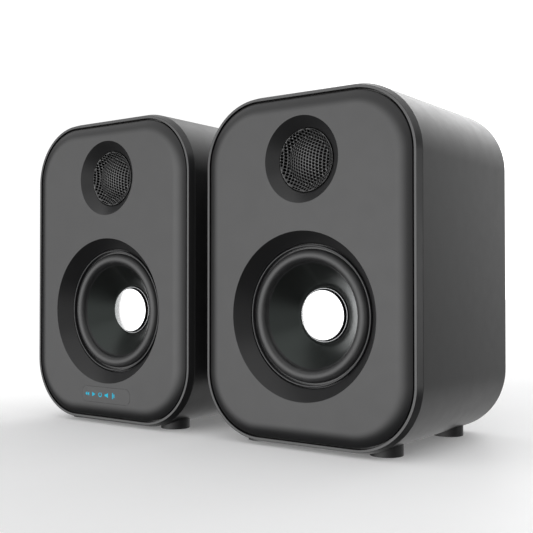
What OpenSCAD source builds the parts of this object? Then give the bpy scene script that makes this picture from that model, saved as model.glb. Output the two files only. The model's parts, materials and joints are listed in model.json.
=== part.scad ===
// A pair of two-way desktop speakers: a powered left one and a passive right one.
// Millimetres. X runs to the right as seen from the front, Y runs to the back, Z is up.
// The origin is on the desk, midway between the speakers and midway along the depth.

/* [Cabinet] */
// Width of one cabinet
cabinet_w = 145.6; // [144:0.2:160]
// Height of one cabinet
cabinet_h = 205; // [203:1:225]
// Depth from the front of the trim ring to the rear edge
cabinet_d = 121.4; // [116:0.2:160]
// Radius of the four long corners
corner_r = 40.5; // [38:0.5:43]
// Thickness of the cabinet wall
wall = 4; // [3.4:0.1:4]
// Gap between the two cabinets
pair_gap = 12.4; // [6:0.2:60]

/* [Front] */
// Depth of the tapered trim ring
trim_d = 4.5; // [4:0.1:6]
// How far the baffle's flat face stands in front of the trim ring
baffle_proud = 2.95; // [2:0.05:4]
// Width of the baffle's rolled edge
roll_w = 8.6; // [7:0.1:9]
// Depth behind the trim ring's front at which the rolled edge ends
roll_end = 0.4; // [0.2:0.1:1]
// Depth of the baffle's back face
baffle_back = 8.4; // [8.4:0.1:9]

/* [Woofer] */
// Height of the woofer's axis above the cabinet's underside
woofer_h = 75.3; // [75:0.1:80]
// Radius of the bevelled recess at the baffle's face
recess_r = 48.75; // [48:0.25:50]
// Radius of the cone at the surround's inner edge
cone_r = 30.6; // [30:0.1:30.8]
// Radius of the polished cap
cap_r = 14.8; // [14.6:0.1:15]
// How far the cone travels each way from rest
woofer_travel = 3; // [1:0.5:3]

/* [Tweeter] */
// Height of the tweeter's axis above the cabinet's underside
tweeter_h = 164.9; // [160:0.1:166]
// Radius of the tweeter's recess at the baffle's face
tweeter_recess_r = 25; // [24:0.25:27]
// Radius of the grille's outer edge
grille_r = 18.4; // [18.2:0.1:18.4]

/* [Feet] */
// Radius of a foot
foot_r = 9.5; // [8:0.5:10]
// Gap between the desk and the cabinet's flat underside
foot_gap = 1.6; // [1.2:0.1:4]
// Distance of the feet from the speaker's middle plane
foot_x = 42.5; // [42:0.5:44]

/* [Back] */
// How far the back panel sits inside the rear edge
panel_recess = 2; // [1.9:0.1:3]
// Thickness of the back panel
panel_t = 4; // [3:0.5:5]
// Inner radius of the reflex port
port_r = 16; // [13:0.5:17]
// Length of the reflex port
port_l = 60; // [35:1:62]
// Radius of the volume knob
knob_r = 8.5; // [7:0.5:11]
// How far the volume knob stands out from the back panel
knob_l = 10.6; // [8:0.2:14]

/* [Hidden] */

$fn = 96;
eps = 0.01;          // overlap that keeps a cut clear of a face
slip = 0.05;         // radial clearance of a turning pin
fit = 0.1;           // clearance between two parts that don't move

// Layout of the pair
pair_pitch = cabinet_w + pair_gap;
panel_y = cabinet_d - panel_recess;                  // outer face of the back panel
overall_d = baffle_proud + panel_y + knob_l;
front_y = baffle_proud - overall_d / 2;              // front plane of the trim rings

// Cross-section: distances outward from the centres of the rounded corners
span_x = cabinet_w - 2 * corner_r;
span_z = cabinet_h - 2 * corner_r;
mid_z = foot_gap + cabinet_h / 2;
inner_r = corner_r - wall;                           // inside of the cabinet wall
trim_taper = 1.5;                                    // how much the trim ring narrows to its front
trim_face = 1.6;                                     // width of the trim ring's flat front face
trim_out = corner_r - trim_taper;
trim_in = trim_out - trim_face;
baffle_r = inner_r - fit;                            // edge of the baffle
roll_depth = baffle_proud + roll_end;
roll_r = (roll_w * roll_w + roll_depth * roll_depth) / (2 * roll_depth);
ledge_w = 3;                                         // ledges that the baffle and back panel rest on
ledge_t = 3;
rear_chamfer = 0.8;

// Woofer: depths behind the front of the trim ring
woofer_z = foot_gap + woofer_h;
throat_r = 41.8;                                     // straight bore behind the bevel
throat_y = 5.9;
gasket_y = 5.15;                                     // top of the gasket's bead
gasket_r = 40.45;                                    // middle of the gasket's bead
surround_t = 0.8;
spider_t = 0.65;
spider_waves = [17.5, 20.5];                         // radii of the spider's corrugations
roll_tube = 3.9;                                     // outer radius of the surround's half-roll
roll_mid = 35;                                       // radius of the circle the half-roll follows
cone_y = baffle_back + slip;                         // front of the cone's lip
cone_neck_r = 13.3;
cone_neck_y = 23.3;
cone_t = 1.2;
cone_lip = 1.4;
cap_y = 19.9;                                        // edge of the cap
cap_rise = 1.5;
cap_foot_y = 22.1;
cap_t = 0.6;
ring_tube = 0.3;                                     // tube radius of the bright ring round the cap
ring_mid = cap_r + ring_tube + 0.65;                 // circle that the ring follows
cone_slope = (cone_neck_y - cone_y) / (cone_r - cone_neck_r);
ring_y = cone_neck_y - (ring_mid - cone_neck_r) * cone_slope
    - (ring_tube + slip) * sqrt(1 + cone_slope * cone_slope);
flange_t = 1.8;
flange_r = 50;
flange_in = 39.2;
screw_circle = 46;
screw_r = 1.6;
screw_head_r = 2.8;
basket_y = 39.5;                                     // back of the basket
basket_r = 29;
basket_t = 1.5;
basket_bend_y = 28;                                  // where the slanted spokes meet the basket's back
basket_in = basket_r - basket_t;
spider_in = 23.5;                                    // inner edge of the spider's ledge
ledge_y = 30.1;                                      // depth of the spider's ledge
gap_r = 14.5;                                        // opening that the voice coil passes through
coil_r = 12.9;
plate_t = 4;
coil_len = plate_t + 2 * woofer_travel;              // winding covers the gap at both ends of travel
magnet_t = 12;
yoke_t = 4.5;

// Tweeter
tweeter_z = foot_gap + tweeter_h;
grille_y = 2.3;                                      // front of the grille's edge
grille_t = 0.5;
valley_r = 14.1;                                     // circle where the brim meets the dome
valley_y = 5.6;
grille_top_y = 1.2;
tweeter_bore = grille_r + 0.3;
tweeter_travel_gap = 0.4;
dome_r = 12.8;
dome_rise = 4.6;

// Back
screw_inset = ledge_w + screw_r + 0.3;               // panel screws to the cabinet's inner wall
screw_x = cabinet_w / 2 - wall - screw_inset;
screw_z = cabinet_h / 2 - wall - screw_inset;
panel_screw_spots = [for (sx = [-1, 1], sz = [-1, 1], side = [0, 1])
    side == 0 ? [sx * screw_x, sz * 50] : [sx * 25, sz * screw_z]];
boss_r = 5;
port_z = 150;                                        // heights above the cabinet's underside
upper_row_z = 100;
lower_row_z = 50;
knob_x = 28;
rocker_x = -28;
power_x = -38;
aux_x = -10;
left_terminal_x = 30;
passive_terminal_z = 60;
board_t = 1.6;
amp_gap = 18;                                        // back panel's outer face to the amplifier board
amp_z = 75;                                          // middle of the amplifier board
amp_w = 104;
amp_h = 80;
crossover_gap = 12;
crossover_z = 105;
crossover_w = 62;
crossover_h = 38;
post_inset = 4;                                      // a board's posts to its edges
post_r = 2.5;
shaft_r = 3;                                         // volume knob's shaft

// Sockets
jack_depth = 17;
jack_body_y = 4;                                     // sockets' bodies start behind the panel
jack_proud = 0.8;
aux_w = 9;
aux_r = 1.8;
aux_collar_r = 3.5;
power_w = 12;
power_r = 3.2;
power_collar_r = 5.5;
power_pin_r = 1;
socket_floor = 12;                                   // depth of the power socket

// Power switch
switch_w = 12.8;                                     // housing behind the panel
switch_h = 18.8;
switch_flange = 1.1;                                 // flange beyond the housing
rocker_w = 10.6;
rocker_half_h = 7.8;
rocker_tilt = 8;
rocker_pivot = 3;                                    // pivot behind the panel's outer face

// Wire terminals: y is measured out of the panel's face, z from the place given to at_panel
terminal_w = 30;
terminal_h = 25;
terminal_mid = 1.5;
terminal_depth = 12;
terminal_flange = 2;                                 // flange's thickness and its reach beyond the block
wire_r = 1.25;
wire_z = -6.5;
lever_tilt = 18;
lever_pivot_y = -1.5;
lever_pivot_z = 9.6;
lever_w = 9.6;
lever_t = 2.4;
lever_l = 10.5;
lever_x = 7;                                         // levers left and right of the block's middle
thumb_h = 6;                                         // thick lower end of a lever
thumb_t = 3.4;
pin_r = 1.2;
pin_l = 13.2;

// Touch strip
window_w = 45.5;
window_h = 10.4;
window_r = 4.3;
window_z = 18.6;
window_t = 2;
icon_first = -17.6;                                  // first icon to the middle of the strip
icon_pitch = 6.25;
icon_count = 5;
pocket_w = 52;                                       // pocket behind the strip, for its board
pocket_h = 14;

// ---- placing ----

// Puts a speaker's parts at the left or the right place of the pair
module left() translate([-pair_pitch / 2, front_y, 0]) children();
module right() translate([pair_pitch / 2, front_y, 0]) children();

// Turns a shape drawn flat so that its x stays, its y goes up and its z goes to the back
module upright() mirror([0, 1, 0]) rotate([90, 0, 0]) children();

// Places on one speaker
module at_front() translate([0, 0, mid_z]) upright() children();
module at_woofer() translate([0, 0, woofer_z]) upright() children();
module at_tweeter() translate([0, 0, tweeter_z]) upright() children();
module at_window() translate([0, -baffle_proud, foot_gap + window_z]) upright() children();
module at_panel(x, h) translate([x, panel_y, foot_gap + h]) children();

// ---- shapes ----

// Sweeps a profile round the rounded rectangle: profile x is measured outward from the corner
// centres, profile y is the depth
module around() {
    for (turn = [0, 180]) rotate(turn) {
        translate([span_x / 2, 0, 0]) rotate([90, 0, 0]) linear_extrude(span_z, center = true) children();
        translate([0, span_z / 2, 0]) rotate([90, 0, 90]) linear_extrude(span_x, center = true) children();
        translate([span_x / 2, span_z / 2, 0]) rotate_extrude(angle = 90) children();
        translate([-span_x / 2, span_z / 2, 0]) rotate(90) rotate_extrude(angle = 90) children();
    }
}

// A solid plate with the cabinet's rounded outline, r beyond the corner centres
module rounded_plate(r, t) {
    around() square([r, t]);
    translate([-span_x / 2, -span_z / 2, 0]) cube([span_x, span_z, t]);
}

// A rounded rectangle, centred
module rounded_rect(w, h, r) {
    square([w - 2 * r, h], center = true);
    square([w, h - 2 * r], center = true);
    for (sx = [-1, 1], sy = [-1, 1]) translate([sx * (w / 2 - r), sy * (h / 2 - r)]) circle(r);
}

// A ring of rectangular section
module ring(r_in, r_out, from, to) translate([0, 0, from]) difference() {
    cylinder(h = to - from, r = r_out);
    translate([0, 0, -eps]) cylinder(h = to - from + 2 * eps, r = r_in);
}

// Half the profile of a domed shell bulging to the front: its edge has radius r at depth 0
module dome_profile(r, rise, t) {
    ball = (r * r + rise * rise) / (2 * rise);
    intersection() {
        translate([0, ball - rise]) difference() {
            circle(ball, $fn = 360);
            circle(ball - t, $fn = 360);
        }
        translate([0, -rise - 1]) square([r, rise + 1]);
    }
}

// A box centred on x and z, from one depth to another along y
module block(w, h, from, to, z = 0) translate([-w / 2, from, z - h / 2]) cube([w, to - from, h]);

// A rod along y
module rod(r, from, to) translate([0, to, 0]) rotate([90, 0, 0]) cylinder(h = to - from, r = r);

// A rod along x, centred
module pin(r, l) rotate([0, 90, 0]) cylinder(h = l, r = r, center = true);

// A pan-head screw: the head sits on depth 0 and stands out to the back
module screw(l, head_r, head_t) {
    difference() {
        rod(head_r, 0, head_t);
        for (turn = [0, 90]) rotate([0, turn, 0]) block(0.8, 3, head_t - 0.9, head_t + 1);
    }
    rod(screw_r, -l, eps);
}

// ---- case ----

module cabinet() color("#4b4b4c") at_front() {
    back = cabinet_d;
    rest = panel_y - panel_t;
    around() polygon([
        [inner_r, trim_d], [corner_r, trim_d], [corner_r, back - rear_chamfer],
        [corner_r - rear_chamfer, back], [inner_r, back], [inner_r, rest],
        [inner_r - ledge_w, rest], [inner_r - ledge_w, rest - ledge_t], [inner_r, rest - ledge_t],
        [inner_r, baffle_back + ledge_t], [inner_r - ledge_w, baffle_back + ledge_t],
        [inner_r - ledge_w, baffle_back], [inner_r, baffle_back]
    ]);
    for (spot = panel_screw_spots) translate([spot[0], spot[1], 0])
        ring(screw_r + slip, boss_r, rest - 14, rest);
}

module trim_ring() color("#6e6e6f") at_front() around()
    polygon([[trim_in, 0], [trim_out, 0], [corner_r, trim_d], [trim_in, trim_d]]);

// The baffle before its openings are cut
module baffle_blank() {
    flat = baffle_r - roll_w;
    around() {
        translate([0, -baffle_proud]) square([flat, baffle_proud + baffle_back]);
        intersection() {
            translate([flat, roll_r - baffle_proud]) circle(roll_r, $fn = 180);
            translate([flat, -baffle_proud]) square([roll_w, baffle_proud + baffle_back]);
        }
    }
    translate([-span_x / 2, -span_z / 2, -baffle_proud])
        cube([span_x, span_z, baffle_proud + baffle_back]);
}

// A bevelled opening: wide at the baffle's face, straight behind depth y
module bevelled_hole(face_r, back_r, y) {
    slope = (face_r - back_r) / (y + baffle_proud);
    translate([0, 0, -baffle_proud - 1])
        cylinder(h = y + baffle_proud + 1, r1 = face_r + slope, r2 = back_r);
    translate([0, 0, y - eps]) cylinder(h = baffle_back - y + 1, r = back_r);
}

module baffle(touch) color("#626263") difference() {
    at_front() baffle_blank();
    at_woofer() bevelled_hole(recess_r, throat_r, throat_y);
    at_tweeter() bevelled_hole(tweeter_recess_r, tweeter_bore, grille_y + grille_t);
    at_woofer() for (turn = [45:90:315]) rotate(turn)
        translate([screw_circle, 0, baffle_back - 4]) cylinder(h = 5, r = screw_r + slip);
    if (touch) at_window() {
        translate([0, 0, -1]) linear_extrude(window_t + 2)
            rounded_rect(window_w + fit, window_h + fit, window_r);
        translate([-pocket_w / 2, -pocket_h / 2, window_t]) cube([pocket_w, pocket_h, baffle_back + 6]);
    }
}

module feet() color("#1c1c1d") difference() {
    for (sx = [-1, 1], y = [20, cabinet_d - 21]) translate([sx * foot_x, y, 0])
        cylinder(h = corner_r / 4, r = foot_r);
    for (sx = [-1, 1]) translate([sx * span_x / 2, 0, foot_gap + corner_r])
        rod(corner_r + eps, -1, cabinet_d + 1);
}

// ---- woofer ----

module woofer_frame() color("#2a2a2b") at_woofer() difference() {
    rotate_extrude() polygon([
        [flange_in, baffle_back], [flange_r, baffle_back], [flange_r, baffle_back + flange_t],
        [43, baffle_back + flange_t], [basket_r, basket_bend_y], [basket_r, basket_y],
        [gap_r, basket_y], [gap_r, basket_y - basket_t], [basket_in, basket_y - basket_t],
        [basket_in, ledge_y + basket_t], [spider_in, ledge_y + basket_t], [spider_in, ledge_y],
        [basket_in, ledge_y], [basket_in, basket_bend_y - 0.5], [flange_in, 12]
    ]);
    for (turn = [0:90:270]) rotate(turn - 30) translate([0, 0, 13])
        rotate_extrude(angle = 60) translate([20, 0]) square([30, 13]);
    for (turn = [45:90:315]) rotate(turn) translate([screw_circle, 0, 0])
        cylinder(h = 20, r = screw_r + 0.3);
}

module woofer_screws() color("#8d8d90") translate([0, baffle_back + flange_t, woofer_z])
    for (turn = [45:90:315])
        translate([screw_circle * cos(turn), 0, screw_circle * sin(turn)])
            screw(flange_t + 3.6, screw_head_r, 2);

module woofer_gasket() color("#77777a") at_woofer() rotate_extrude() {
    translate([gasket_r, gasket_y + 0.6]) circle(0.6, $fn = 32);
    translate([gasket_r - 0.75, gasket_y + 0.6]) square([1.5, baffle_back - surround_t - gasket_y - 0.6]);
}

module surround() color("#39393a") at_woofer() rotate_extrude() {
    intersection() {
        translate([roll_mid, baffle_back]) difference() {
            circle(roll_tube);
            circle(roll_tube - surround_t);
        }
        translate([0, baffle_back - 2 * roll_tube]) square([flange_r, 2 * roll_tube]);
    }
    translate([roll_mid + roll_tube - surround_t, baffle_back - surround_t])
        square([throat_r - fit - roll_mid - roll_tube + surround_t, surround_t]);
    translate([cone_r - 0.2, baffle_back - surround_t])
        square([roll_mid - roll_tube + surround_t - cone_r + 0.2, surround_t]);
}

module cone() color("#232425") at_woofer() rotate_extrude() polygon([
    [cone_r + cone_lip, cone_y], [cone_r, cone_y], [cone_neck_r, cone_neck_y],
    [cone_neck_r, cone_neck_y + cone_t], [cone_r + 0.1, cone_y + cone_t],
    [cone_r + cone_lip, cone_y + surround_t]
]);

module dust_cap() color("#e6e6e8") at_woofer() rotate_extrude() {
    translate([0, cap_y]) dome_profile(cap_r, cap_rise, cap_t);
    translate([cap_r - cap_t, cap_y - eps]) square([cap_t, cap_foot_y - cap_y - 0.3]);
}

module cap_ring() color("#c9cbcd") at_woofer() rotate_extrude()
    translate([ring_mid, ring_y]) circle(ring_tube, $fn = 32);

module voice_coil() color("#b0763a") at_woofer() {
    middle = basket_y + plate_t / 2;
    ring(coil_r, cone_neck_r - slip, cone_neck_y - 0.5, middle + coil_len / 2);
    ring(coil_r, cone_neck_r + 0.35, middle - coil_len / 2, middle + coil_len / 2);
}

module spider() color("#c7a557") at_woofer() rotate_extrude() {
    top = ledge_y - spider_t - slip;
    difference() {
        translate([cone_neck_r, top]) square([basket_in - 1 - cone_neck_r, spider_t]);
        for (r = spider_waves) translate([r, ledge_y]) polygon([[-1.2, 0], [1.2, 0], [0, -1]]);
    }
    // Corrugations
    for (r = spider_waves) translate([r, top])
        polygon([[-1.6, 0], [0, -1], [1.6, 0], [1.2, 0.3], [0, -0.3], [-1.2, 0.3]]);
}

module top_plate() color("#9a9da0") at_woofer() ring(14, 27, basket_y, basket_y + plate_t);

module magnet() color("#3c3d40") at_woofer()
    ring(17, 30, basket_y + plate_t, basket_y + plate_t + magnet_t);

module yoke() color("#9a9da0") at_woofer() {
    back = basket_y + plate_t + magnet_t;
    translate([0, 0, back]) cylinder(h = yoke_t, r = 27);
    translate([0, 0, basket_y + 0.2]) cylinder(h = back - basket_y, r = coil_r - 0.4);
}

// ---- tweeter ----

module tweeter_housing() color("#2a2a2b") at_tweeter() {
    ring(grille_r - 0.8, tweeter_bore - 0.2, grille_y + 1.3, baffle_back + eps);
    ring(dome_r + 0.8, 23.5, baffle_back, baffle_back + 1.8);
    ring(17.35, 19, baffle_back + 1.8 - eps, baffle_back + 5.6);
}

module tweeter_grille() color("#3a3a3b") at_tweeter() rotate_extrude() {
    back = valley_y + grille_t;
    polygon([
        [grille_r, grille_y], [grille_r, grille_y + grille_t], [valley_r, back],
        [valley_r - 0.8, back], [valley_r - 0.8, valley_y], [valley_r, valley_y]
    ]);
    translate([0, back]) dome_profile(valley_r, back - grille_top_y, grille_t);
}

module tweeter_dome() color("#4a4238") at_tweeter() rotate_extrude() {
    edge = baffle_back - tweeter_travel_gap;
    translate([0, edge]) dome_profile(dome_r, dome_rise, 0.5);
    translate([dome_r - 0.4, edge - 0.6]) square([0.4, 6]);
    translate([dome_r - 0.4, edge - 0.6]) square([3.4, 0.6]);
}

module tweeter_motor() color("#8d8d90") at_tweeter() {
    front = baffle_back + 1.8;
    ring(dome_r + 0.5, 17.35, front, front + 11);
    translate([0, 0, front + 11 - eps]) cylinder(h = 3, r = 17.35);
    translate([0, 0, front]) cylinder(h = 11, r = dome_r - 0.9);
}

// ---- back ----

// The hollow port and its flared mouth, both reaching the panel's outer face
module port_bore() {
    rod(port_r, -port_l - 1, 1);
    translate([0, -6, 0]) rotate([-90, 0, 0]) cylinder(h = 7, r1 = port_r - eps, r2 = port_r + 6);
}

// The four posts that a board of the given size stands on
module board_posts(w, h, gap) for (sx = [-1, 1], sz = [-1, 1])
    translate([sx * (w / 2 - post_inset), 0, sz * (h / 2 - post_inset)]) rod(post_r, -gap, -panel_t + eps);

module back_panel_blank() {
    translate([0, panel_y - panel_t, 0]) at_front() rounded_plate(inner_r - fit, panel_t);
    at_panel(0, port_z) rod(port_r + 2.5, -port_l, -panel_t + eps);
}

module panel_holes() {
    at_panel(0, port_z) port_bore();
    for (spot = panel_screw_spots) translate([spot[0], panel_y, mid_z + spot[1]])
        rod(screw_r + 0.3, -panel_t - 1, 1);
}

module powered_back_panel() color("#333334") difference() {
    union() {
        back_panel_blank();
        at_panel(0, amp_z) board_posts(amp_w, amp_h, amp_gap);
    }
    panel_holes();
    at_panel(knob_x, upper_row_z) rod(shaft_r + 0.6, -panel_t - 1, 1);
    at_panel(rocker_x, upper_row_z) block(switch_w + 2 * fit, switch_h + 2 * fit, -panel_t - 1, 1);
    at_panel(aux_x, lower_row_z) rod(aux_collar_r + fit, -panel_t - 1, 1);
    at_panel(power_x, lower_row_z) rod(power_collar_r + fit, -panel_t - 1, 1);
    at_panel(left_terminal_x, lower_row_z) terminal_cutout();
}

module passive_back_panel() color("#333334") difference() {
    union() {
        back_panel_blank();
        at_panel(0, crossover_z) board_posts(crossover_w, crossover_h, crossover_gap);
    }
    panel_holes();
    at_panel(0, passive_terminal_z) terminal_cutout();
}

module panel_screws() color("#6f6f72") for (spot = panel_screw_spots)
    translate([spot[0], panel_y, mid_z + spot[1]]) screw(panel_t + 8, 3, 1.8);

// ---- wire terminals ----

module terminal_cutout() block(terminal_w + 2 * fit, terminal_h + 2 * fit, -panel_t - 1, 1, terminal_mid);

module terminal_block(x, h) color("#1f1f20") at_panel(x, h) difference() {
    union() {
        block(terminal_w + 2 * terminal_flange, terminal_h + 2 * terminal_flange, 0, terminal_flange,
            terminal_mid);
        block(terminal_w, terminal_h, -terminal_depth, eps, terminal_mid);
    }
    for (side = [-1, 1]) translate([side * lever_x, 0, 0]) {
        block(lever_w + 0.8, 13.8, -7, 3, 5.1);
        translate([0, 0, wire_z]) rod(wire_r, -7, 3);
        translate([0, lever_pivot_y, lever_pivot_z]) pin(pin_r + slip, pin_l + 0.4);
    }
}

// A push lever, pressed at its lower end
module lever() translate([0, lever_pivot_y, lever_pivot_z]) rotate([lever_tilt, 0, 0]) {
    pin(pin_r, pin_l);
    pin(2, lever_w);
    translate([-lever_w / 2, -lever_t / 2, -lever_l]) cube([lever_w, lever_t, lever_l]);
    translate([-lever_w / 2, 0, -lever_l]) cube([lever_w, thumb_t, thumb_h]);
}

module red_lever(x, h) color("#b3262a") at_panel(x + lever_x, h) lever();
module black_lever(x, h) color("#161617") at_panel(x - lever_x, h) lever();

// ---- controls and sockets of the powered speaker ----

module rocker_housing() color("#1f1f20") at_panel(rocker_x, upper_row_z) difference() {
    union() {
        block(switch_w + 2 * switch_flange, switch_h + 2 * switch_flange, 0, 1.5);
        block(switch_w, switch_h, -13, eps);
    }
    block(rocker_w + 0.6, switch_h - 1.6, -6.5, 3);
    translate([0, -rocker_pivot, 0]) pin(pin_r + slip, rocker_w + 1.8);
}

module power_rocker() color("#101011") at_panel(rocker_x, upper_row_z)
    translate([0, -rocker_pivot, 0]) rotate([rocker_tilt, 0, 0]) {
        translate([-rocker_w / 2, 0, 0]) rotate([90, 0, 90]) linear_extrude(rocker_w) polygon([
            [-2, -rocker_half_h], [5.5, -rocker_half_h], [4.3, 0], [5.5, rocker_half_h],
            [-2, rocker_half_h]
        ]);
        pin(pin_r, rocker_w + 1.6);
    }

module volume_knob() color("#1b1b1c") at_panel(knob_x, upper_row_z) {
    difference() {
        rod(knob_r, 0.6, knob_l);
        // Grip grooves
        for (turn = [0:15:345]) rotate([0, turn, 0]) translate([0, 0, knob_r + 0.3])
            rod(0.8, 2, knob_l + 1);
        // Pointer groove
        block(1, knob_r, knob_l - 0.6, knob_l + 1, knob_r / 2);
    }
    rod(shaft_r, -16, 1);
}

module aux_jack() color("#2b2b2d") at_panel(aux_x, lower_row_z) difference() {
    union() {
        rod(aux_collar_r, -jack_body_y - eps, jack_proud);
        block(aux_w, aux_w, -jack_depth, -jack_body_y);
    }
    rod(aux_r, -13.2, 2);
}

module power_jack() color("#18181a") at_panel(power_x, lower_row_z) {
    difference() {
        union() {
            rod(power_collar_r, -jack_body_y - eps, jack_proud);
            block(power_w, power_w, -jack_depth, -jack_body_y);
        }
        rod(power_r, -socket_floor, 2);
    }
    rod(power_pin_r, -socket_floor - eps, -0.5);
}

module amp_board() color("#1f5a3a") at_panel(0, amp_z) {
    front = -amp_gap;
    back = front - board_t;
    knob_z = upper_row_z - amp_z;
    difference() {
        block(amp_w, amp_h, back, front);
        translate([knob_x, 0, knob_z]) rod(shaft_r + 0.5, front - 5, front + 5);
    }
    // Potentiometer, with a bore for the knob's shaft
    translate([knob_x, 0, knob_z]) difference() {
        block(14, 14, front - eps, front + 7);
        rod(shaft_r + slip, front - 1, front + 8);
    }
    // Capacitors, coils and the amplifier chip
    for (x = [-40, -25]) translate([x, 0, 20]) rod(5, back - 16, back + eps);
    for (x = [0, 16, 32]) translate([x, 0, -12]) block(11, 11, back - 6, back + eps);
    translate([8, 0, 14]) block(18, 12, back - 3, back + eps);
}

module crossover() color("#1f5a3a") at_panel(0, crossover_z) {
    back = -crossover_gap - board_t;
    block(crossover_w, crossover_h, back, -crossover_gap);
    // Coil and film capacitor
    translate([-14, 0, 0]) rod(8, back - 14, back + eps);
    translate([16, 0, 0]) rotate([0, 90, 0]) translate([0, back - 6, -11]) cylinder(h = 22, r = 6.1);
}

// ---- touch strip of the powered speaker ----

// Two triangles pointing left
module icon_back() for (x = [-1.85, 0.1]) translate([x, 0])
    polygon([[0, 0], [1.75, 1.4], [1.75, -1.4]]);

// A triangle pointing right
module icon_play() polygon([[-1.4, -1.5], [1.6, 0], [-1.4, 1.5]]);

// An open ring
module icon_open_ring() difference() {
    circle(1.6, $fn = 48);
    circle(1, $fn = 48);
    translate([-0.45, 0]) square([0.9, 2]);
}

// A small loudspeaker
module icon_speaker()
    polygon([[-1.8, -0.7], [-0.5, -0.7], [1.3, -1.6], [1.3, 1.6], [-0.5, 0.7], [-1.8, 0.7]]);

// A tall bar beside a short one
module icon_level() {
    translate([-1, -2]) square([0.8, 4]);
    translate([0.3, -1.2]) square([0.8, 2.4]);
}

module icons_flat() for (i = [0:icon_count - 1]) translate([icon_first + i * icon_pitch, 0]) {
    if (i == 0) icon_back();
    if (i == 1) icon_play();
    if (i == 2) icon_open_ring();
    if (i == 3) icon_speaker();
    if (i == 4) icon_level();
}

module touch_window() color("#5b5b5c") at_window() difference() {
    linear_extrude(window_t) rounded_rect(window_w, window_h, window_r);
    translate([0, 0, -1]) linear_extrude(window_t + 2) icons_flat();
}

module touch_icons() color("#1fb5d6") at_window() linear_extrude(window_t) icons_flat();

module touch_board() color("#1f5a3a") at_window() {
    face = window_t + 1.2;
    translate([-pocket_w / 2 + 1, -pocket_h / 2 + 0.5, face]) cube([pocket_w - 2, pocket_h - 1, board_t]);
    // One lamp behind each icon
    for (i = [0:icon_count - 1]) translate([icon_first + i * icon_pitch - 0.8, -0.8, window_t + 0.4])
        cube([1.6, 1.6, face - window_t - 0.4 + eps]);
}

// ---- nodes ----

left() cabinet();  // left_cabinet
left() trim_ring();  // left_trim_ring
left() baffle(touch = true);  // left_baffle
left() powered_back_panel();  // left_back_panel
left() panel_screws();  // left_panel_screws
left() feet();  // left_feet
left() woofer_frame();  // left_woofer_frame
left() woofer_screws();  // left_woofer_screws
left() woofer_gasket();  // left_woofer_gasket
left() surround();  // left_surround
left() cone();  // left_cone
left() dust_cap();  // left_dust_cap
left() cap_ring();  // left_cap_ring
left() voice_coil();  // left_voice_coil
left() spider();  // left_spider
left() top_plate();  // left_top_plate
left() magnet();  // left_magnet
left() yoke();  // left_yoke
left() tweeter_housing();  // left_tweeter_housing
left() tweeter_grille();  // left_tweeter_grille
left() tweeter_dome();  // left_tweeter_dome
left() tweeter_motor();  // left_tweeter_motor
left() terminal_block(left_terminal_x, lower_row_z);  // left_terminal_block
left() red_lever(left_terminal_x, lower_row_z);  // left_red_lever
left() black_lever(left_terminal_x, lower_row_z);  // left_black_lever
left() touch_window();  // left_touch_window
left() touch_icons();  // left_touch_icons
left() touch_board();  // left_touch_board
left() amp_board();  // left_amp_board
left() aux_jack();  // left_aux_jack
left() power_jack();  // left_power_jack
left() rocker_housing();  // left_rocker_housing
left() power_rocker();  // left_power_rocker
left() volume_knob();  // left_volume_knob

right() cabinet();  // right_cabinet
right() trim_ring();  // right_trim_ring
right() baffle(touch = false);  // right_baffle
right() passive_back_panel();  // right_back_panel
right() panel_screws();  // right_panel_screws
right() feet();  // right_feet
right() woofer_frame();  // right_woofer_frame
right() woofer_screws();  // right_woofer_screws
right() woofer_gasket();  // right_woofer_gasket
right() surround();  // right_surround
right() cone();  // right_cone
right() dust_cap();  // right_dust_cap
right() cap_ring();  // right_cap_ring
right() voice_coil();  // right_voice_coil
right() spider();  // right_spider
right() top_plate();  // right_top_plate
right() magnet();  // right_magnet
right() yoke();  // right_yoke
right() tweeter_housing();  // right_tweeter_housing
right() tweeter_grille();  // right_tweeter_grille
right() tweeter_dome();  // right_tweeter_dome
right() tweeter_motor();  // right_tweeter_motor
right() terminal_block(0, passive_terminal_z);  // right_terminal_block
right() red_lever(0, passive_terminal_z);  // right_red_lever
right() black_lever(0, passive_terminal_z);  // right_black_lever
right() crossover();  // right_crossover
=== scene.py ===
"""Looks for a pair of desktop speakers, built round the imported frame.

Shapes are worked out in millimetres and turned into metres when a mesh is made. X runs to the
right as seen from the front, Y to the back, Z up. A depth is a distance along Y behind the
front of a speaker's trim ring.
"""

import json
import math

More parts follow.
